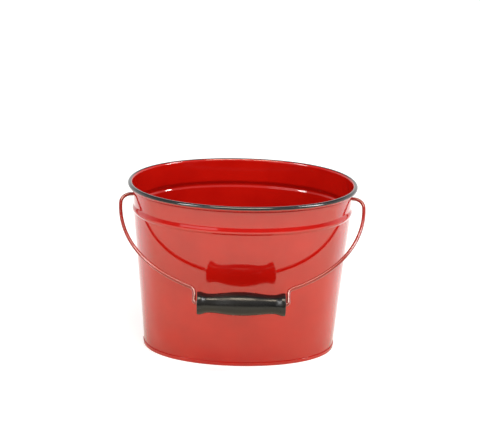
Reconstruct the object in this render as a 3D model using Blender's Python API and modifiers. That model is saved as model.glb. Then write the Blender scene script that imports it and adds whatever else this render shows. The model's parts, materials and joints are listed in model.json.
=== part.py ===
"""Oval sheet steel wash bucket with a wired rim, a swaged rib, a seamed bottom and a wire bail.

Metres, +Z up. The bucket stands on Z = 0 with its oval's long axis along X. The bail hangs
towards -Y, and its pivot axis runs along X through the two holes under the rim. The origin is the
middle of the whole footprint, bail included, so the bucket itself stands a little behind it.
"""

import math

import bmesh
import bpy
from mathutils import Vector
from mathutils.geometry import interpolate_bezier

# Overall size, over the rolled rim and over the seam at the foot
RIM_LENGTH = 0.300
RIM_WIDTH = 0.192
BASE_LENGTH = 0.260
BASE_WIDTH = 0.139
HEIGHT = 0.235
OVAL_FULLNESS = 0.0067  # how much fuller than an ellipse the ovals are at their corners

# Sheet and the gap between pieces that touch
SHEET = 0.0008
SEAT_GAP = 0.0003

# Rim: the sheet is rolled outwards over a wire, and stops short of the wall
RIM_WIRE_DIAMETER = 0.0040
ROLL_TURN = math.radians(300)

# Swaged rib: above it the collar stands in from the line of the body
RIB_DROP = 0.037
RIB_PROUD = 0.0005
RIB_RISE = 0.0065
RIB_FALL = 0.0050
COLLAR_INSET = 0.0013

# Bottom: a raised pan whose edge is folded down, under and up round the foot of the wall
CHIME_HEIGHT = 0.0050
FLOOR_RAISE = 0.0065
PAN_CORNER = 0.0020
FOLD_CORNER = 0.0006

# Bail wire
BAIL_WIRE_DIAMETER = 0.0048
PIVOT_DROP = 0.021
HOLE_CLEARANCE = 0.0004
BAIL_REACH = 0.153
BAIL_HANG = math.radians(41)  # how far below level the bail leans at rest
SHOULDER_OUT = 0.0088
SHOULDER_RADIUS = 0.010
HOOK_STANDOFF = 0.0040
HOOK_RADIUS = 0.0050
HOOK_TAIL = 0.0100
CRANK_RISE = 0.020
CRANK_RADIUS = 0.0042
CRANK_CORNER_RADIUS = 0.0085
CRANK_CLEARANCE = 0.0039
ARM_LEAN = math.radians(22)
ARM_PULL_AT_SHOULDER = 0.32  # how far each end's heading carries into the arm's curve
ARM_PULL_AT_CRANK = 0.84

# Turned grip
GRIP_LENGTH = 0.111
GRIP_END_DIAMETER = 0.0272
GRIP_NECK_DIAMETER = 0.0222
GRIP_BELLY_DIAMETER = 0.0282
GRIP_NECK_INSET = 0.016
GRIP_LIP = 0.0032
GRIP_EDGE = 0.0010
BORE_CLEARANCE = 0.0004

# Mesh fineness
OVAL_STEPS = 80
ROLL_STEPS = 10
RIB_STEPS = 4
WIRE_SIDES = 8
BEND_STEPS = 5
ARM_STEPS = 16
GRIP_STEPS = 32
HOLE_SIDES = 24

ROLL_RADIUS = RIM_WIRE_DIAMETER / 2 + SEAT_GAP + SHEET
ROLL_HEIGHT = HEIGHT - ROLL_RADIUS
PIVOT_HEIGHT = HEIGHT - PIVOT_DROP
RIB_HEIGHT = HEIGHT - RIB_DROP
FOOT_HEIGHT = SHEET + SEAT_GAP
FOLD_DEPTH = 2 * SHEET + SEAT_GAP  # from the wall's inner face out to the face of the seam
FRONT_REACH = BAIL_REACH * math.cos(BAIL_HANG) + GRIP_BELLY_DIAMETER / 2
BUCKET_SETBACK = (FRONT_REACH - RIM_WIDTH / 2) / 2
KAPPA = 0.5523  # handle length of a quarter circle, as a share of its radius


def body_line(height):
    """Half length and half width of the body's inner face, which slopes evenly up to the roll."""
    roll_inset = 2 * ROLL_RADIUS - COLLAR_INSET
    low = Vector((BASE_LENGTH / 2 - FOLD_DEPTH, BASE_WIDTH / 2 - FOLD_DEPTH))
    high = Vector((RIM_LENGTH / 2 - roll_inset, RIM_WIDTH / 2 - roll_inset))
    return low.lerp(high, height / ROLL_HEIGHT)


def oval_ring(offset, height, line_height=None):
    """Points of the oval this far outside the body line at its own or at another height."""
    half_length, half_width = body_line(height if line_height is None else line_height)
    norm = 1 - OVAL_FULLNESS
    points = []
    for step in range(OVAL_STEPS):
        turn = 2 * math.pi * step / OVAL_STEPS
        along = (math.cos(turn) - OVAL_FULLNESS * math.cos(3 * turn)) / norm
        across = (math.sin(turn) + OVAL_FULLNESS * math.sin(3 * turn)) / norm
        points.append(Vector(((half_length + offset) * along, (half_width + offset) * across, height)))
    return points


def wall_half_length(height):
    """Half length of the collar's inner face."""
    return body_line(height).x - COLLAR_INSET


def ease(share):
    return (1 - math.cos(math.pi * share)) / 2


def roll_ring(radius, turn):
    """The line that a point of the rim's round section draws; turn 0 is outwards, a quarter is up."""
    out = ROLL_RADIUS + radius * math.cos(turn)
    return oval_ring(out - COLLAR_INSET, ROLL_HEIGHT + radius * math.sin(turn), ROLL_HEIGHT)


def wall_rings():
    """Inner face of the wall from the foot up, then round the outside of the rolled rim."""
    rings = [oval_ring(0, FOOT_HEIGHT)]
    for step in range(RIB_STEPS):
        share = step / RIB_STEPS
        rings.append(oval_ring(RIB_PROUD * ease(share), RIB_HEIGHT - RIB_FALL * (1 - share)))
    for step in range(RIB_STEPS + 1):
        share = step / RIB_STEPS
        offset = RIB_PROUD - (RIB_PROUD + COLLAR_INSET) * ease(share)
        rings.append(oval_ring(offset, RIB_HEIGHT + RIB_RISE * share))
    # The roll starts on the collar's inner face, goes over the top and down the outside.
    for step in range(ROLL_STEPS + 1):
        rings.append(roll_ring(ROLL_RADIUS, math.pi - ROLL_TURN * step / ROLL_STEPS))
    return rings


def pan_rings():
    """Underside of the pan's edge, from its flat outwards, under the wall and up its outside."""
    face = -SEAT_GAP - SHEET  # the folded edge's face that looks at the middle
    rings = []

    def corner(centre_out, centre_height, radius, turns):
        for turn in turns:
            out = centre_out + radius * math.cos(math.radians(turn))
            rings.append(oval_ring(out, centre_height + radius * math.sin(math.radians(turn))))

    corner(face - PAN_CORNER, FLOOR_RAISE - PAN_CORNER, PAN_CORNER, (90, 45, 0))
    corner(face + FOLD_CORNER, FOLD_CORNER, FOLD_CORNER, (180, 225, 270))
    corner(FOLD_DEPTH - FOLD_CORNER, FOLD_CORNER, FOLD_CORNER, (270, 315, 360))
    rings.append(oval_ring(FOLD_DEPTH, CHIME_HEIGHT))
    return rings


def finish_material(name, colour, roughness, metallic=0.0):
    material = bpy.data.materials.new(name)
    material.use_nodes = True
    shader = material.node_tree.nodes["Principled BSDF"]
    shader.inputs["Base Color"].default_value = (*colour, 1)
    shader.inputs["Roughness"].default_value = roughness
    shader.inputs["Metallic"].default_value = metallic
    return material


def add_empty(name, collection, location, parent=None):
    empty = bpy.data.objects.new(name, None)
    empty.location = location
    empty.parent = parent
    collection.objects.link(empty)
    return empty


def add_mesh_object(name, mesh_builder, collection, parent, material=None):
    mesh = bpy.data.meshes.new(name)
    mesh_builder.to_mesh(mesh)
    mesh_builder.free()
    piece = bpy.data.objects.new(name, mesh)
    piece.parent = parent
    collection.objects.link(piece)
    if material:
        mesh.materials.append(material)
    mesh.shade_smooth()
    mesh.set_sharp_from_angle(angle=math.radians(40))
    return piece


def loft(rings, close_middle=False):
    """Skin between rings; with close_middle the first ring is filled by a fan to its centre."""
    builder = bmesh.new()
    rows = [[builder.verts.new(point) for point in ring] for ring in rings]
    for row, upper in zip(rows, rows[1:]):
        for step in range(OVAL_STEPS):
            after = (step + 1) % OVAL_STEPS
            builder.faces.new((row[step], row[after], upper[after], upper[step]))
    if close_middle:
        centre = builder.verts.new((0, 0, rings[0][0].z))
        for step in range(OVAL_STEPS):
            builder.faces.new((rows[0][(step + 1) % OVAL_STEPS], rows[0][step], centre))
    return builder


def add_sheet(piece, side):
    """Gives a lofted skin the thickness of the sheet, along its normals (1) or against them (-1)."""
    solidify = piece.modifiers.new("sheet", "SOLIDIFY")
    solidify.thickness = SHEET
    solidify.offset = side
    solidify.use_even_offset = True


def make_wall(parts, cutters, bucket):
    enamel = finish_material("red_enamel", (0.50, 0.010, 0.008), 0.12)
    wall = add_mesh_object("bucket_wall", loft(wall_rings()), parts, bucket, enamel)
    add_sheet(wall, 1)

    drill = bmesh.new()
    radius = BAIL_WIRE_DIAMETER / 2 + HOLE_CLEARANCE
    bmesh.ops.create_cone(
        drill, cap_ends=True, segments=HOLE_SIDES, radius1=radius, radius2=radius, depth=RIM_LENGTH
    )
    cutter = add_mesh_object("bail_hole_drill", drill, cutters, bucket)
    cutter.rotation_euler = (0, math.pi / 2, 0)
    cutter.location = (0, 0, PIVOT_HEIGHT)
    cutter.hide_render = True
    cutter.display_type = "WIRE"
    holes = wall.modifiers.new("bail_holes", "BOOLEAN")
    holes.operation = "DIFFERENCE"
    holes.object = cutter
    return wall


def make_rim_wire(parts, bucket):
    """The wire that the rim is rolled over: a closed loop of round section."""
    steel = finish_material("rim_wire_steel", (0.45, 0.45, 0.46), 0.4, 1.0)
    radius = RIM_WIRE_DIAMETER / 2
    turns = [-2 * math.pi * step / WIRE_SIDES for step in range(WIRE_SIDES + 1)]
    builder = loft([roll_ring(radius, turn) for turn in turns])
    bmesh.ops.remove_doubles(builder, verts=builder.verts, dist=1e-6)
    bmesh.ops.recalc_face_normals(builder, faces=builder.faces)
    return add_mesh_object("rim_wire", builder, parts, bucket, steel)


def make_pan(parts, bucket):
    enamel = finish_material("pan_enamel", (0.46, 0.010, 0.008), 0.15)
    skin = loft(pan_rings(), close_middle=True)
    pan = add_mesh_object("bottom_pan", skin, parts, bucket, enamel)
    add_sheet(pan, -1)


def bail_half():
    """Half of the bail's centre line, from the grip outwards to the tail of its hook.

    Points are (along X, away from the pivot axis), in the bail's own plane. Each bend and each arm
    is one Bezier stretch between two stations, and the stations themselves join as straights.
    """
    crank = GRIP_LENGTH / 2 + CRANK_CLEARANCE
    shoulder = RIM_LENGTH / 2 + SHOULDER_OUT
    hook = wall_half_length(PIVOT_HEIGHT) - HOOK_STANDOFF - BAIL_WIRE_DIAMETER / 2
    lean = Vector((math.cos(ARM_LEAN), -math.sin(ARM_LEAN), 0))  # along the arm, away from the grip
    out = Vector((1, 0, 0))
    away = Vector((0, 1, 0))
    points = [Vector((0, BAIL_REACH, 0))]

    def bend(start, start_heading, end, end_heading, start_pull, end_pull, steps):
        handles = (start + start_heading * start_pull, end - end_heading * end_pull)
        points.extend(interpolate_bezier(start, *handles, end, steps + 1))

    # Out of the grip and up towards the pivot axis
    pull = KAPPA * CRANK_RADIUS
    start = Vector((crank - CRANK_RADIUS, BAIL_REACH, 0))
    end = Vector((crank, BAIL_REACH - CRANK_RADIUS, 0))
    bend(start, out, end, -away, pull, pull, BEND_STEPS)

    # Round the crank's corner into the arm
    corner = Vector((crank, BAIL_REACH - CRANK_RISE, 0))
    tangent = CRANK_CORNER_RADIUS * math.tan((math.pi / 2 - ARM_LEAN) / 2)
    start = corner + away * tangent
    arm_start = corner + lean * tangent
    bend(start, -away, arm_start, lean, tangent * 0.6, tangent * 0.6, BEND_STEPS)

    # Along the arm to the shoulder
    arm_end = Vector((shoulder, SHOULDER_RADIUS, 0))
    arm = arm_end - arm_start
    pulls = (arm.x * ARM_PULL_AT_CRANK, -arm.y * ARM_PULL_AT_SHOULDER)
    points.pop()
    bend(arm_start, lean, arm_end, -away, *pulls, ARM_STEPS)

    # Over the shoulder, in through the hole, and the hook inside the wall
    pull = KAPPA * SHOULDER_RADIUS
    end = Vector((shoulder - SHOULDER_RADIUS, 0, 0))
    points.pop()
    bend(arm_end, -away, end, -out, pull, pull, BEND_STEPS)
    pull = KAPPA * HOOK_RADIUS
    start = Vector((hook + HOOK_RADIUS, 0, 0))
    end = Vector((hook, HOOK_RADIUS, 0))
    bend(start, -out, end, away, pull, pull, BEND_STEPS)
    points.append(Vector((hook, HOOK_TAIL, 0)))
    return points


def make_bail(parts, pivot):
    steel = finish_material("bail_enamel", (0.50, 0.010, 0.008), 0.15)
    half = bail_half()
    route = [Vector((-point.x, point.y, 0)) for point in reversed(half[1:])] + half
    curve = bpy.data.curves.new("bail_wire", "CURVE")
    curve.dimensions = "3D"
    curve.bevel_depth = BAIL_WIRE_DIAMETER / 2
    curve.bevel_resolution = 2
    curve.use_fill_caps = True
    spline = curve.splines.new("POLY")
    spline.points.add(len(route) - 1)
    for knot, point in zip(spline.points, route):
        knot.co = (point.x, -point.y, 0, 1)
    curve.materials.append(steel)
    bail = bpy.data.objects.new("bail_wire", curve)
    parts.objects.link(bail)
    bail.parent = pivot
    return bail


def grip_profile():
    """Right half of the grip's outside, from its middle to its end, as (along, radius)."""
    half = GRIP_LENGTH / 2
    neck = half - GRIP_NECK_INSET
    belly = GRIP_BELLY_DIAMETER / 2
    waist = GRIP_NECK_DIAMETER / 2
    end = GRIP_END_DIAMETER / 2
    profile = []
    for step in range(7):
        share = step / 6
        profile.append((neck * share, belly + (waist - belly) * ease(share)))
    flare = half - GRIP_LIP - neck
    for step in range(1, 5):
        share = step / 4
        profile.append((neck + flare * share, waist + (end - waist) * ease(share**1.4)))
    profile.append((half - GRIP_EDGE, end))
    profile.append((half - GRIP_EDGE * 0.3, end - GRIP_EDGE * 0.3))
    profile.append((half, end - GRIP_EDGE))
    return profile


def make_grip(parts, pivot):
    """Turned about the bail's straight stretch: outside and bore in one closed profile."""
    lacquer = finish_material("black_lacquer", (0.012, 0.011, 0.011), 0.35)
    right = grip_profile()
    left = [(-along, radius) for along, radius in reversed(right[1:])]
    bore = BAIL_WIRE_DIAMETER / 2 + BORE_CLEARANCE
    half = GRIP_LENGTH / 2
    outline = left + right
    outline += [(half, bore + GRIP_EDGE), (half - GRIP_EDGE, bore)]
    outline += [(-half + GRIP_EDGE, bore), (-half, bore + GRIP_EDGE)]
    builder = bmesh.new()
    verts = [builder.verts.new((radius, 0, -along)) for along, radius in outline]
    for vert, after in zip(verts, verts[1:] + verts[:1]):
        builder.edges.new((vert, after))
    grip = add_mesh_object("handle_grip", builder, parts, pivot, lacquer)
    screw = grip.modifiers.new("turned", "SCREW")
    screw.axis = "Z"
    screw.steps = GRIP_STEPS
    screw.render_steps = GRIP_STEPS
    screw.use_merge_vertices = False
    screw.use_smooth_shade = True
    screw.use_normal_calculate = False
    # The profile is drawn along Z, and lies along X once it is on the bail.
    grip.rotation_euler = (0, math.pi / 2, 0)
    grip.location = (0, -BAIL_REACH, 0)
    return grip


def add_collection(name):
    collection = bpy.data.collections.new(name)
    bpy.context.scene.collection.children.link(collection)
    return collection


def main():
    for leftover in list(bpy.data.objects):
        bpy.data.objects.remove(leftover, do_unlink=True)
    parts = add_collection("oval_wash_bucket")
    cutters = add_collection("cutters")
    bucket = add_empty("bucket_stand", parts, (0, BUCKET_SETBACK, 0))
    make_wall(parts, cutters, bucket)
    make_rim_wire(parts, bucket)
    make_pan(parts, bucket)
    pivot = add_empty("bail_pivot", parts, (0, 0, PIVOT_HEIGHT), bucket)
    pivot.rotation_euler = (BAIL_HANG, 0, 0)
    make_bail(parts, pivot)
    make_grip(parts, pivot)


main()
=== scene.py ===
import json
import math

import bmesh
import bpy
from mathutils import Matrix, Vector
from mathutils.geometry import interpolate_bezier


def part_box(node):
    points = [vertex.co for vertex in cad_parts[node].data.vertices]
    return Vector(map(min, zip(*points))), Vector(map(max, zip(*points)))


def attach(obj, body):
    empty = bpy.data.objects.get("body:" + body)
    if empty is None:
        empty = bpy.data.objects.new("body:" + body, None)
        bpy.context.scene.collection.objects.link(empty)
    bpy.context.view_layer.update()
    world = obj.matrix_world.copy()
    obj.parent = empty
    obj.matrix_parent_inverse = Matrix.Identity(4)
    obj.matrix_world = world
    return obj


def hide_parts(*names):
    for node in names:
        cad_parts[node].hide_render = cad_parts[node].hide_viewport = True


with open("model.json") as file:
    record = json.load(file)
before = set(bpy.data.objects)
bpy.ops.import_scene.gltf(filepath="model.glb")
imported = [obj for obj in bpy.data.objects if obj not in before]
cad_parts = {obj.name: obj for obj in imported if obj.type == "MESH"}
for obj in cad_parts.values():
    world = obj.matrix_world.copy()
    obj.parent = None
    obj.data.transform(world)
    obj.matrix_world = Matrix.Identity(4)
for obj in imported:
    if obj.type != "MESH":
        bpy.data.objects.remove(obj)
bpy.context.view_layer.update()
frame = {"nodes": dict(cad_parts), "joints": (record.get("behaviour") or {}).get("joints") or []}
print("frame loaded:", ", ".join(sorted(frame["nodes"])))


# Places that the pieces share, all read from the frame
wallLow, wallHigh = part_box("bucket_wall")
panLow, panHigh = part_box("bottom_pan")
swing, spin = frame["joints"]
pivot = Vector(swing["pos_m"])
gripCentre = Vector(spin["pos_m"])
bucketCentre = (wallLow + wallHigh) / 2

sheet = {
    "thickness": 0.0008,
    "gap": 0.0003,
    "rimWire": 0.0040,  # diameter of the wire inside the roll
    "collarInset": 0.0013,
    "chimeHeight": 0.0050,
    "fullness": 0.0067,  # how much fuller than an ellipse the ovals are
    "steps": 288,
    "sharpAngle": 40,
}
rollRadius = sheet["rimWire"] / 2 + sheet["gap"] + sheet["thickness"]
rollHeight = wallHigh.z - rollRadius
foldDepth = 2 * sheet["thickness"] + sheet["gap"]


def bodyLine(height):
    # half length and half width of the body's inner face
    rollInset = 2 * rollRadius - sheet["collarInset"]
    low = Vector(((panHigh.x - panLow.x) / 2 - foldDepth, (panHigh.y - panLow.y) / 2 - foldDepth))
    high = Vector(((wallHigh.x - wallLow.x) / 2 - rollInset, (wallHigh.y - wallLow.y) / 2 - rollInset))
    return low.lerp(high, (height - sheet["chimeHeight"]) / (rollHeight - sheet["chimeHeight"]))


def ovalRing(offset, height, lineHeight=None):
    # offset outwards from the body's inner face, as wide as that is at lineHeight if it is given
    halfLength, halfWidth = bodyLine(height if lineHeight is None else lineHeight)
    full = sheet["fullness"]
    ring = []
    for step in range(sheet["steps"]):
        turn = 2 * math.pi * step / sheet["steps"]
        along = (math.cos(turn) - full * math.cos(3 * turn)) / (1 - full)
        across = (math.sin(turn) + full * math.sin(3 * turn)) / (1 - full)
        x = bucketCentre.x + (halfLength + offset) * along
        y = bucketCentre.y + (halfWidth + offset) * across
        ring.append(Vector((x, y, height)))
    return ring


def rollRing(turn):
    # turn 0 is the outermost line of the rolled rim, a quarter turn its crest
    out = rollRadius + rollRadius * math.cos(turn)
    return ovalRing(out - sheet["collarInset"], rollHeight + rollRadius * math.sin(turn), rollHeight)


def ease(share):
    return (1 - math.cos(math.pi * share)) / 2


def skinBetween(rings, filled=False):
    # filled closes the first ring with a fan of faces
    build = bmesh.new()
    rows = [[build.verts.new(point) for point in ring] for ring in rings]
    count = len(rows[0])
    for row, upper in zip(rows, rows[1:]):
        for step in range(count):
            after = (step + 1) % count
            build.faces.new((row[step], row[after], upper[after], upper[step]))
    if filled:
        middle = build.verts.new(sum(rings[0], Vector()) / count)
        for step in range(count):
            build.faces.new((rows[0][(step + 1) % count], rows[0][step], middle))
    return build


def pieceFromBuild(name, build, finish):
    mesh = bpy.data.meshes.new(name)
    build.to_mesh(mesh)
    build.free()
    mesh.materials.append(finish)
    piece = bpy.data.objects.new(name, mesh)
    bpy.context.scene.collection.objects.link(piece)
    return piece


def settle(piece, sharpAngle):
    # applies the modifiers, then shades smooth with sharp folds
    graph = bpy.context.evaluated_depsgraph_get()
    mesh = bpy.data.meshes.new_from_object(piece.evaluated_get(graph))
    piece.modifiers.clear()
    piece.data = mesh
    mesh.shade_smooth()
    mesh.set_sharp_from_angle(angle=math.radians(sharpAngle))


def thicken(piece, side, thickness):
    solidify = piece.modifiers.new("sheetThickness", "SOLIDIFY")
    solidify.thickness = thickness
    solidify.offset = side
    solidify.use_even_offset = True
    return solidify


def startFinish(name):
    material = bpy.data.materials.new(name)
    material.use_nodes = True
    nodes = material.node_tree.nodes
    return material, nodes, material.node_tree.links, nodes["Principled BSDF"]


def feed(links, value, socket):
    # links an output, or sets a colour or a number
    if isinstance(value, bpy.types.NodeSocket):
        links.new(value, socket)
    elif isinstance(value, tuple):
        socket.default_value = (*value, 1)
    else:
        socket.default_value = value


def noiseAt(nodes, links, scale, detail, stretch=None):
    # noise in the object's own space, in features a metre, stretched along an axis if asked
    coords = nodes.new("ShaderNodeTexCoord")
    noise = nodes.new("ShaderNodeTexNoise")
    noise.inputs["Scale"].default_value = scale
    noise.inputs["Detail"].default_value = detail
    if stretch:
        mapping = nodes.new("ShaderNodeMapping")
        mapping.inputs["Scale"].default_value = stretch
        links.new(coords.outputs["Object"], mapping.inputs["Vector"])
        links.new(mapping.outputs["Vector"], noise.inputs["Vector"])
    else:
        links.new(coords.outputs["Object"], noise.inputs["Vector"])
    return noise.outputs["Fac"]


def spread(nodes, links, source, fromRange, toRange=(0, 1)):
    ranger = nodes.new("ShaderNodeMapRange")
    for name, limit in zip(("From Min", "From Max", "To Min", "To Max"), (*fromRange, *toRange)):
        ranger.inputs[name].default_value = limit
    links.new(source, ranger.inputs["Value"])
    return ranger.outputs["Result"]


def calculate(nodes, links, operation, *values):
    node = nodes.new("ShaderNodeMath")
    node.operation = operation
    for value, socket in zip(values, node.inputs):
        feed(links, value, socket)
    return node.outputs["Value"]


def blend(nodes, links, share, first, second, kind="FLOAT"):
    mix = nodes.new("ShaderNodeMix")
    mix.data_type = kind
    feed(links, first, mix.inputs["A"])
    feed(links, second, mix.inputs["B"])
    links.new(share, mix.inputs["Factor"])
    return mix.outputs["Result"]


def bumpFrom(nodes, links, height, depth, before=None):
    bump = nodes.new("ShaderNodeBump")
    bump.inputs["Strength"].default_value = 1
    bump.inputs["Distance"].default_value = depth
    links.new(height, bump.inputs["Height"])
    if before:
        links.new(before, bump.inputs["Normal"])
    return bump.outputs["Normal"]


noiseSpan = (0.3, 0.7)  # where most of a noise's values lie

# Each noise is (scale, detail), and stretch where the material has a grain
enamel = {
    "red": (0.50, 0.0062, 0.0028),
    "deepRed": (0.44, 0.0046, 0.0022),
    "clouds": (22, 4),
    "cloudSpan": (0.35, 0.65),
    "glossPatches": (66, 3),
    "roughness": (0.045, 0.085),
    "coatRoughness": 0.025,
    "coatIor": 1.5,
    "sheetWaves": (16, 0),
    "sheetWaveDepth": 0.00045,
    "orangePeel": (420, 1),
    "peelDepth": 0.000012,
    "rimBlack": (0.012, 0.012, 0.013),
    "rimBlackRoughness": 0.16,
    "paintEdge": (0.95, 1.05),  # paint depths between which the black sets in
    "paintWander": (160, 3),
    "paintWanderSpan": (-0.16, 0.16),
}


def enamelFinish(name, red=enamel["red"], deepRed=enamel["deepRed"], withRimPaint=False):
    material, nodes, links, shader = startFinish(name)
    clouds = spread(nodes, links, noiseAt(nodes, links, *enamel["clouds"]), enamel["cloudSpan"])
    colour = blend(nodes, links, clouds, red, deepRed, "RGBA")
    patches = noiseAt(nodes, links, *enamel["glossPatches"])
    gloss = spread(nodes, links, patches, noiseSpan, enamel["roughness"])
    waves = noiseAt(nodes, links, *enamel["sheetWaves"])
    peel = noiseAt(nodes, links, *enamel["orangePeel"])
    normal = bumpFrom(nodes, links, waves, enamel["sheetWaveDepth"])
    normal = bumpFrom(nodes, links, peel, enamel["peelDepth"], normal)
    if withRimPaint:
        depth = nodes.new("ShaderNodeAttribute")
        depth.attribute_name = "rimPaint"
        wander = noiseAt(nodes, links, *enamel["paintWander"])
        wander = spread(nodes, links, wander, noiseSpan, enamel["paintWanderSpan"])
        painted = calculate(nodes, links, "ADD", depth.outputs["Fac"], wander)
        painted = spread(nodes, links, painted, enamel["paintEdge"])
        colour = blend(nodes, links, painted, colour, enamel["rimBlack"], "RGBA")
        gloss = blend(nodes, links, painted, gloss, enamel["rimBlackRoughness"])
    links.new(colour, shader.inputs["Base Color"])
    links.new(gloss, shader.inputs["Roughness"])
    links.new(normal, shader.inputs["Normal"])
    shader.inputs["Coat Weight"].default_value = 1
    shader.inputs["Coat Roughness"].default_value = enamel["coatRoughness"]
    shader.inputs["Coat IOR"].default_value = enamel["coatIor"]
    return material


wall = {
    "bodyRows": 12,
    "ribDrop": 0.037,  # from the top down to the rib's crest
    "ribProud": 0.0010,
    "ribRise": 0.0075,
    "ribFall": 0.0036,
    "ribSteps": 10,
    "collarRows": 6,
    "grooveDrop": 0.0064,  # shallow groove under the roll, from its lower edge up
    "grooveHeight": 0.0022,
    "grooveDepth": 0.00055,
    "grooveSteps": 6,
    "rollTurn": math.radians(300),
    "rollSteps": 40,
    "paintFrom": math.radians(-9),
    "paintTo": math.radians(124),
    "paintFade": math.radians(20),  # over which the paint depth falls to nothing
    "holeClearance": 0.0004,
    "holeSides": 48,
}


def wallProfile():
    # (ring, paint depth, share of the sheet's thickness) from the foot up the inside, then over the roll
    rib = wallHigh.z - wall["ribDrop"]
    foot = sheet["thickness"] + sheet["gap"]
    ribStart = rib - wall["ribFall"]
    collarStart = rib + wall["ribRise"]
    rows = []
    for row in range(wall["bodyRows"]):
        rows.append((ovalRing(0, foot + (ribStart - foot) * row / wall["bodyRows"]), 0, 1))
    for step in range(wall["ribSteps"]):
        share = step / wall["ribSteps"]
        rows.append((ovalRing(wall["ribProud"] * ease(share), ribStart + wall["ribFall"] * share), 0, 1))
    for step in range(wall["ribSteps"]):
        share = step / wall["ribSteps"]
        offset = wall["ribProud"] - (wall["ribProud"] + sheet["collarInset"]) * ease(share)
        rows.append((ovalRing(offset, rib + wall["ribRise"] * share), 0, 1))
    grooveStart = rollHeight - wall["grooveDrop"]
    for row in range(wall["collarRows"]):
        height = collarStart + (grooveStart - collarStart) * row / wall["collarRows"]
        rows.append((ovalRing(-sheet["collarInset"], height), 0, 1))
    for step in range(wall["grooveSteps"] + 1):
        share = step / wall["grooveSteps"]
        thin = 1 - wall["grooveDepth"] / sheet["thickness"] * ease(share)
        rows.append((ovalRing(-sheet["collarInset"], grooveStart + wall["grooveHeight"] * share), 0, thin))
    for step in range(wall["rollSteps"] + 1):
        turn = math.pi - wall["rollTurn"] * step / wall["rollSteps"]
        edge = min(turn - wall["paintFrom"], wall["paintTo"] - turn)
        rows.append((rollRing(turn), max(0, 1 + edge / wall["paintFade"]), 1))
    return rows


def makeWall():
    rows = wallProfile()
    finish = enamelFinish("wallEnamel", withRimPaint=True)
    piece = pieceFromBuild("enamelledWall", skinBetween([ring for ring, depth, thin in rows]), finish)
    paint = piece.data.attributes.new("rimPaint", "FLOAT", "POINT")
    paint.data.foreach_set("value", [depth for ring, depth, thin in rows for point in ring])
    gauge = piece.vertex_groups.new(name="sheetGauge")
    for row, (ring, depth, thin) in enumerate(rows):
        first = row * sheet["steps"]
        gauge.add(list(range(first, first + sheet["steps"])), thin, "REPLACE")
    thicken(piece, 1, sheet["thickness"]).vertex_group = gauge.name

    drill = bmesh.new()
    radius = bail["wire"] / 2 + wall["holeClearance"]
    bmesh.ops.create_cone(
        drill,
        cap_ends=True,
        segments=wall["holeSides"],
        radius1=radius,
        radius2=radius,
        depth=wallHigh.x - wallLow.x,
        matrix=Matrix.Translation(pivot) @ Matrix.Rotation(math.pi / 2, 4, "Y"),
    )
    cutter = pieceFromBuild("bailHoleDrill", drill, finish)
    holes = piece.modifiers.new("bailHoles", "BOOLEAN")
    holes.operation = "DIFFERENCE"
    holes.object = cutter
    settle(piece, sheet["sharpAngle"])
    bpy.data.objects.remove(cutter)
    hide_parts("bucket_wall")
    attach(piece, "bucket")


pan = {
    "floorRaise": 0.0065,
    "floorRings": (0.5, 0.8),  # shares of the way from the middle to the flat's edge
    "corner": 0.0020,
    "foldCorner": 0.0006,
    "cornerSteps": 8,
    "thickness": 0.00105,  # with the enamel, which nearly fills the seam
    "edgeRound": 0.00050,
    "edgeSteps": 3,
    "edgeAngle": math.radians(60),
}


def panProfile():
    # underside of the pan's sheet: out along the raised floor, down, under the wall, and up its outside
    face = -sheet["gap"] - sheet["thickness"]
    corner, foldCorner = pan["corner"], pan["foldCorner"]
    middle = Vector((bucketCentre.x, bucketCentre.y, pan["floorRaise"]))
    flat = ovalRing(face - corner, pan["floorRaise"])
    rings = [[point.lerp(middle, 1 - share) for point in flat] for share in pan["floorRings"]]
    # (distance outwards, height, radius, first and last angle)
    bends = (
        (face - corner, pan["floorRaise"] - corner, corner, 90, 0),
        (face + foldCorner, foldCorner, foldCorner, 180, 270),
        (foldDepth - foldCorner, foldCorner, foldCorner, 270, 360),
    )
    for out, height, radius, first, last in bends:
        for step in range(pan["cornerSteps"] + 1):
            turn = math.radians(first + (last - first) * step / pan["cornerSteps"])
            rings.append(ovalRing(out + radius * math.cos(turn), height + radius * math.sin(turn)))
    rings.append(ovalRing(foldDepth, sheet["chimeHeight"]))
    return rings


def makePan():
    piece = pieceFromBuild("enamelledPan", skinBetween(panProfile(), filled=True), enamelFinish("panEnamel"))
    thicken(piece, -1, pan["thickness"])
    edges = piece.modifiers.new("roundedEdge", "BEVEL")
    edges.width = pan["edgeRound"]
    edges.segments = pan["edgeSteps"]
    edges.limit_method = "ANGLE"
    edges.angle_limit = pan["edgeAngle"]
    settle(piece, sheet["sharpAngle"])
    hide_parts("bottom_pan")
    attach(piece, "bucket")


bail = {
    "wire": 0.0048,
    "shoulderOut": 0.0088,
    "shoulderRadius": 0.013,
    "hookStandoff": 0.0040,
    "hookRadius": 0.0050,
    "hookTail": 0.0100,
    "crankRise": 0.020,
    "crankRadius": 0.0042,
    "crankClearance": 0.0039,
    "crankCornerRadius": 0.0085,
    "crankCornerPull": 0.6,
    "armLean": math.radians(22),
    "pullAtCrank": 0.84,
    "pullAtShoulder": 0.32,
    "endRound": 0.0007,
    "endSteps": ((1, 0), (0.3, 0.3), (0, 1)),  # shares of endRound: back from the tip, off the radius
    "bendSteps": 14,
    "armSteps": 60,
    "bevelSteps": 5,
    "red": (0.33, 0.014, 0.009),
    "deepRed": (0.25, 0.012, 0.008),
}
quarterPull = 0.5523  # a handle of this share of the radius draws a quarter circle
samePlace = 1e-6


def inPlane(along, away):
    # in the bail's own plane: along the pivot's axis, and away from it
    return Vector((along, away, 0))


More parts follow.
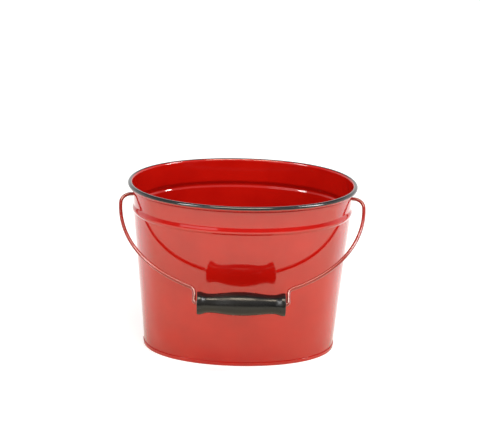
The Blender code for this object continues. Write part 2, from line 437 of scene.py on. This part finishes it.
def bailHalf():
    # half of the wire's centre line, from the middle of the grip to the hook's tip
    reach = (gripCentre - pivot).length
    crank = grip["length"] / 2 + bail["crankClearance"]
    shoulder = (wallHigh.x - wallLow.x) / 2 + bail["shoulderOut"]
    collarInside = bodyLine(pivot.z).x - sheet["collarInset"]
    hook = collarInside - bail["hookStandoff"] - bail["wire"] / 2
    out, away = inPlane(1, 0), inPlane(0, 1)
    lean = inPlane(math.cos(bail["armLean"]), -math.sin(bail["armLean"]))

    crankStart = inPlane(crank - bail["crankRadius"], reach)
    crankEnd = inPlane(crank, reach - bail["crankRadius"])
    tangent = bail["crankCornerRadius"] * math.tan((math.pi / 2 - bail["armLean"]) / 2)
    corner = inPlane(crank, reach - bail["crankRise"])
    cornerStart, armStart = corner + away * tangent, corner + lean * tangent
    armEnd = inPlane(shoulder, bail["shoulderRadius"])
    shoulderEnd = inPlane(shoulder - bail["shoulderRadius"], 0)
    hookStart, hookEnd = inPlane(hook + bail["hookRadius"], 0), inPlane(hook, bail["hookRadius"])

    crankPull = quarterPull * bail["crankRadius"]
    cornerPull = tangent * bail["crankCornerPull"]
    arm = armEnd - armStart
    armPulls = (arm.x * bail["pullAtCrank"], -arm.y * bail["pullAtShoulder"])
    shoulderPull = quarterPull * bail["shoulderRadius"]
    hookPull = quarterPull * bail["hookRadius"]
    bendSteps = bail["bendSteps"]
    # (start, its direction, end, its direction, pull at the start, pull at the end, steps)
    bends = (
        (crankStart, out, crankEnd, -away, crankPull, crankPull, bendSteps),
        (cornerStart, -away, armStart, lean, cornerPull, cornerPull, bendSteps),
        (armStart, lean, armEnd, -away, *armPulls, bail["armSteps"]),
        (armEnd, -away, shoulderEnd, -out, shoulderPull, shoulderPull, bendSteps),
        (hookStart, -out, hookEnd, away, hookPull, hookPull, bendSteps),
    )
    line = [inPlane(0, reach)]
    for start, startWay, end, endWay, startPull, endPull, steps in bends:
        handles = (start + startWay * startPull, end - endWay * endPull)
        points = interpolate_bezier(start, *handles, end, steps + 1)
        if (points[0] - line[-1]).length < samePlace:
            points = points[1:]
        line.extend(points)
    for back, cut in bail["endSteps"]:
        line.append(inPlane(hook, bail["hookTail"] - bail["endRound"] * back))
    return line


def makeBail():
    half = bailHalf()
    line = [inPlane(-point.x, point.y) for point in reversed(half[1:])] + half
    ends = [1 - bail["endRound"] / bail["wire"] * 2 * cut for back, cut in bail["endSteps"]]
    thickness = ends[::-1] + [1] * (len(line) - 2 * len(ends)) + ends
    awayWay = (gripCentre - pivot).normalized()
    curve = bpy.data.curves.new("enamelledBail", "CURVE")
    curve.dimensions = "3D"
    curve.bevel_depth = bail["wire"] / 2
    curve.bevel_resolution = bail["bevelSteps"]
    curve.use_fill_caps = True
    spline = curve.splines.new("POLY")
    spline.points.add(len(line) - 1)
    for knot, point, radius in zip(spline.points, line, thickness):
        place = pivot + Vector((point.x, 0, 0)) + awayWay * point.y
        knot.co = (*place, 1)
        knot.radius = radius
    curve.materials.append(enamelFinish("bailEnamel", bail["red"], bail["deepRed"]))
    piece = bpy.data.objects.new("enamelledBail", curve)
    bpy.context.scene.collection.objects.link(piece)
    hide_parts("bail_wire")
    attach(piece, "bail")


grip = {
    "length": 0.111,
    "endDiameter": 0.0290,
    "neckDiameter": 0.0240,
    "bellyDiameter": 0.0298,
    "neckInset": 0.016,
    "bellyPower": 1.2,
    "flarePower": 1.4,
    "lip": 0.0032,
    "edge": 0.0010,
    "boreClearance": 0.0004,
    "bellySteps": 24,
    "flareSteps": 12,
    "edgeSteps": 5,
    "sides": 96,
    "sharpAngle": 50,
    "black": (0.006, 0.0058, 0.0058),
    "worn": (0.014, 0.012, 0.010),
    "rubs": (60, 4, (0.35, 1, 1)),
    "rubSpan": (0.45, 0.75),
    "glossPatches": (140, 3, (0.3, 1, 1)),
    "roughness": (0.20, 0.29),
    "dents": (70, 1, (0.6, 1, 1)),
    "dentDepth": 0.0004,
    "grain": (900, 2, (0.05, 1, 1)),
    "grainDepth": 0.00003,
}


def lacquerFinish():
    material, nodes, links, shader = startFinish("blackLacquer")
    rubbed = spread(nodes, links, noiseAt(nodes, links, *grip["rubs"]), grip["rubSpan"])
    colour = blend(nodes, links, rubbed, grip["black"], grip["worn"], "RGBA")
    gloss = spread(nodes, links, noiseAt(nodes, links, *grip["glossPatches"]), noiseSpan, grip["roughness"])
    normal = bumpFrom(nodes, links, noiseAt(nodes, links, *grip["dents"]), grip["dentDepth"])
    normal = bumpFrom(nodes, links, noiseAt(nodes, links, *grip["grain"]), grip["grainDepth"], normal)
    links.new(colour, shader.inputs["Base Color"])
    links.new(gloss, shader.inputs["Roughness"])
    links.new(normal, shader.inputs["Normal"])
    return material


def gripProfile():
    # right half of the outside, as (along the wire, radius)
    half = grip["length"] / 2
    neck = half - grip["neckInset"]
    belly, waist, end = (grip[part] / 2 for part in ("bellyDiameter", "neckDiameter", "endDiameter"))
    outline = []
    for step in range(grip["bellySteps"] + 1):
        share = step / grip["bellySteps"]
        outline.append((neck * share, belly + (waist - belly) * ease(share ** grip["bellyPower"])))
    flare = half - grip["lip"] - neck
    for step in range(1, grip["flareSteps"] + 1):
        share = step / grip["flareSteps"]
        outline.append((neck + flare * share, waist + (end - waist) * ease(share ** grip["flarePower"])))
    for step in range(grip["edgeSteps"] + 1):
        turn = math.pi / 2 * step / grip["edgeSteps"]
        along = half - grip["edge"] * (1 - math.sin(turn))
        outline.append((along, end - grip["edge"] * (1 - math.cos(turn))))
    return outline


def makeGrip():
    right = gripProfile()
    left = [(-along, radius) for along, radius in reversed(right[1:])]
    bore = bail["wire"] / 2 + grip["boreClearance"]
    half = grip["length"] / 2
    mouth = [(half, bore + grip["edge"]), (half - grip["edge"], bore)]
    outline = left + right + mouth + [(-along, radius) for along, radius in reversed(mouth)]
    build = bmesh.new()
    rings = []
    for step in range(grip["sides"]):
        turn = 2 * math.pi * step / grip["sides"]
        across = Vector((0, math.cos(turn), math.sin(turn)))
        points = [gripCentre + Vector((along, 0, 0)) + across * radius for along, radius in outline]
        rings.append([build.verts.new(point) for point in points])
    for ring, after in zip(rings, rings[1:] + rings[:1]):
        for index in range(len(outline)):
            beside = (index + 1) % len(outline)
            build.faces.new((ring[index], ring[beside], after[beside], after[index]))
    bmesh.ops.recalc_face_normals(build, faces=build.faces)
    piece = pieceFromBuild("turnedGrip", build, lacquerFinish())
    settle(piece, grip["sharpAngle"])
    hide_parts("handle_grip")
    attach(piece, "grip")


rimWire = {
    "steel": (0.55, 0.55, 0.56),
    "dullPatches": (300, 3),
    "roughness": (0.28, 0.45),
}


def finishRimWire():
    # the wire keeps its solid, and only takes on a drawn steel's look
    material, nodes, links, shader = startFinish("drawnWire")
    patches = noiseAt(nodes, links, *rimWire["dullPatches"])
    links.new(spread(nodes, links, patches, noiseSpan, rimWire["roughness"]), shader.inputs["Roughness"])
    feed(links, rimWire["steel"], shader.inputs["Base Color"])
    shader.inputs["Metallic"].default_value = 1
    materials = frame["nodes"]["rim_wire"].data.materials
    materials.clear()
    materials.append(material)


makeWall()
print("wall made")
makePan()
print("bottom pan made")
makeBail()
makeGrip()
print("bail and grip made")
finishRimWire()


studio = {
    "floorWhite": 0.86,
    "floorSize": 12,
    "floorRoughness": 0.8,
    "floorGlow": (0.35, 0.60),  # added for the camera near by and far off, so that the open floor is white
    "floorGlowSpan": (0.5, 2.0),
    "reflectedShadeNear": (0.64, 0.58, 0.43),  # painted shade: the floor's colour in reflections, darker and redder beside the bucket for its shadow and red bounce, and a warm grey farther off
    "reflectedTintFar": (0.86, 0.84, 0.70),
    "reflectedShadeSpan": (0.10, 0.42),
    "behindSpan": (-0.06, 0.12),  # where the floor's reflection turns to plain white, a painted bright reflection behind the bucket
    "besideSpan": (0.07, 0.15),  # and only past the bucket's ends
    # painted glow of the floor behind the bucket, seen only in reflections
    "paintedBackGlow": 0.35,
    "roomDiffuse": 0.62,
    # the room's levels in reflections, and the heights and depths between which they change
    "roomFront": (0.08, 0.32),
    "roomFrontSpan": (0.30, 0.38),
    "roomRear": (1.0, 0.15),
    "roomRearSpan": (0.45, 0.70),
    "roomDepthSpan": (-0.45, 0.1),
}


def makeFloor():
    build = bmesh.new()
    bmesh.ops.create_grid(build, x_segments=1, y_segments=1, size=studio["floorSize"] / 2)
    material, nodes, links, shader = startFinish("paleFloor")
    rays = nodes.new("ShaderNodeLightPath")
    coords = nodes.new("ShaderNodeTexCoord")
    reach = nodes.new("ShaderNodeVectorMath")
    reach.operation = "LENGTH"
    links.new(coords.outputs["Object"], reach.inputs[0])
    split = nodes.new("ShaderNodeSeparateXYZ")
    links.new(coords.outputs["Object"], split.inputs["Vector"])

    white = (studio["floorWhite"],) * 3
    back = spread(nodes, links, split.outputs["Y"], studio["behindSpan"])
    aside = calculate(nodes, links, "ABSOLUTE", split.outputs["X"])
    beside = spread(nodes, links, aside, studio["besideSpan"])
    behind = calculate(nodes, links, "MULTIPLY", back, beside)
    # painted shade: in reflections the floor is darker and redder near the bucket, standing in for its
    # shadow and red bounce
    far = spread(nodes, links, reach.outputs["Value"], studio["reflectedShadeSpan"])
    mirrored = blend(nodes, links, far, studio["reflectedShadeNear"], studio["reflectedTintFar"], "RGBA")
    mirrored = blend(nodes, links, behind, mirrored, white, "RGBA")
    shade = blend(nodes, links, rays.outputs["Is Glossy Ray"], white, mirrored, "RGBA")

    openGlow = spread(nodes, links, reach.outputs["Value"], studio["floorGlowSpan"], studio["floorGlow"])
    shown = calculate(nodes, links, "MULTIPLY", rays.outputs["Is Camera Ray"], openGlow)
    # painted reflection: behind the bucket the floor glows for glossy rays only
    paintedBackGlowShare = calculate(nodes, links, "MULTIPLY", behind, rays.outputs["Is Glossy Ray"])
    glow = calculate(nodes, links, "MULTIPLY_ADD", paintedBackGlowShare, studio["paintedBackGlow"], shown)
    links.new(shade, shader.inputs["Base Color"])
    shader.inputs["Roughness"].default_value = studio["floorRoughness"]
    shader.inputs["Emission Color"].default_value = (1, 1, 1, 1)
    links.new(glow, shader.inputs["Emission Strength"])
    floor = pieceFromBuild("floor", build, material)


def makeWorld():
    world = bpy.data.worlds.new("studioRoom")
    bpy.context.scene.world = world
    world.use_nodes = True
    nodes, links = world.node_tree.nodes, world.node_tree.links
    coords = nodes.new("ShaderNodeTexCoord")
    split = nodes.new("ShaderNodeSeparateXYZ")
    links.new(coords.outputs["Generated"], split.inputs["Vector"])
    front = spread(nodes, links, split.outputs["Z"], studio["roomFrontSpan"], studio["roomFront"])
    rear = spread(nodes, links, split.outputs["Z"], studio["roomRearSpan"], studio["roomRear"])
    depth = spread(nodes, links, split.outputs["Y"], studio["roomDepthSpan"])
    mirrored = blend(nodes, links, depth, front, rear)
    rays = nodes.new("ShaderNodeLightPath")
    room = blend(nodes, links, rays.outputs["Is Glossy Ray"], studio["roomDiffuse"], mirrored)
    seen = calculate(
        nodes, links, "MAXIMUM", rays.outputs["Is Camera Ray"], rays.outputs["Is Transmission Ray"]
    )
    backdrop = nodes["Background"]
    backdrop.inputs["Color"].default_value = (1, 1, 1, 1)
    links.new(blend(nodes, links, seen, room, 1), backdrop.inputs["Strength"])


# Angles in degrees round the bucket's middle: azimuth 0 is in front and grows to the right
lamps = (
    {"name": "topSoftbox", "azimuth": 0, "elevation": 70, "distance": 1.6, "size": (0.7, 0.34),
     "power": 9.8, "colour": (1, 0.87, 0.68)},
    {"name": "leftSoftbox", "azimuth": -42, "elevation": 42, "distance": 2.0, "size": (0.24, 1.2),
     "power": 10, "colour": (1, 1, 1)},
    {"name": "leftWindow", "azimuth": -29, "elevation": 23, "distance": 2.0, "size": (0.95, 0.75),
     "power": 2.4, "colour": (1, 1, 1)},
    {"name": "rightSoftbox", "azimuth": 60, "elevation": 42, "distance": 2.0, "size": (0.24, 1.2),
     "power": 19, "colour": (1, 1, 1)},
)


def wayTo(azimuth, elevation):
    level = math.cos(elevation)
    return Vector((math.sin(azimuth) * level, -math.cos(azimuth) * level, math.sin(elevation)))


def makeLamps():
    for lamp in lamps:
        light = bpy.data.lights.new(lamp["name"], "AREA")
        light.shape = "RECTANGLE"
        light.size, light.size_y = lamp["size"]
        light.energy = lamp["power"]
        light.color = lamp["colour"]
        holder = bpy.data.objects.new(lamp["name"], light)
        bpy.context.scene.collection.objects.link(holder)
        way = wayTo(math.radians(lamp["azimuth"]), math.radians(lamp["elevation"]))
        holder.location = bucketCentre + way * lamp["distance"]
        holder.rotation_euler = (bucketCentre - holder.location).to_track_quat("-Z", "Y").to_euler()


# Angles as for the lamps, and the roll
view = {
    "azimuth": -1.0,
    "elevation": 21.86,
    "roll": 1.68,
    "distance": 1.60,
    "aimX": -0.0024,
    "aimZ": 0.1771,
    "lens": 90.77,
    "sensorWidth": 36,
}


def makeCamera():
    azimuth, elevation, roll = (math.radians(view[part]) for part in ("azimuth", "elevation", "roll"))
    forward = -wayTo(azimuth, elevation)
    level = Vector((math.cos(azimuth), math.sin(azimuth), 0))
    upright = level.cross(forward)
    right = level * math.cos(roll) + upright * math.sin(roll)
    up = upright * math.cos(roll) - level * math.sin(roll)
    aim = Vector((view["aimX"], bucketCentre.y, view["aimZ"]))
    data = bpy.data.cameras.new("photoView")
    data.lens = view["lens"]
    data.sensor_width = view["sensorWidth"]
    camera = bpy.data.objects.new("photoView", data)
    bpy.context.scene.collection.objects.link(camera)
    turn = Matrix((right, up, -forward)).transposed().to_4x4()
    camera.matrix_world = Matrix.Translation(aim - forward * view["distance"]) @ turn
    bpy.context.scene.camera = camera


makeFloor()
makeWorld()
makeLamps()
makeCamera()
bpy.context.scene.view_settings.view_transform = "Standard"
print("studio made")
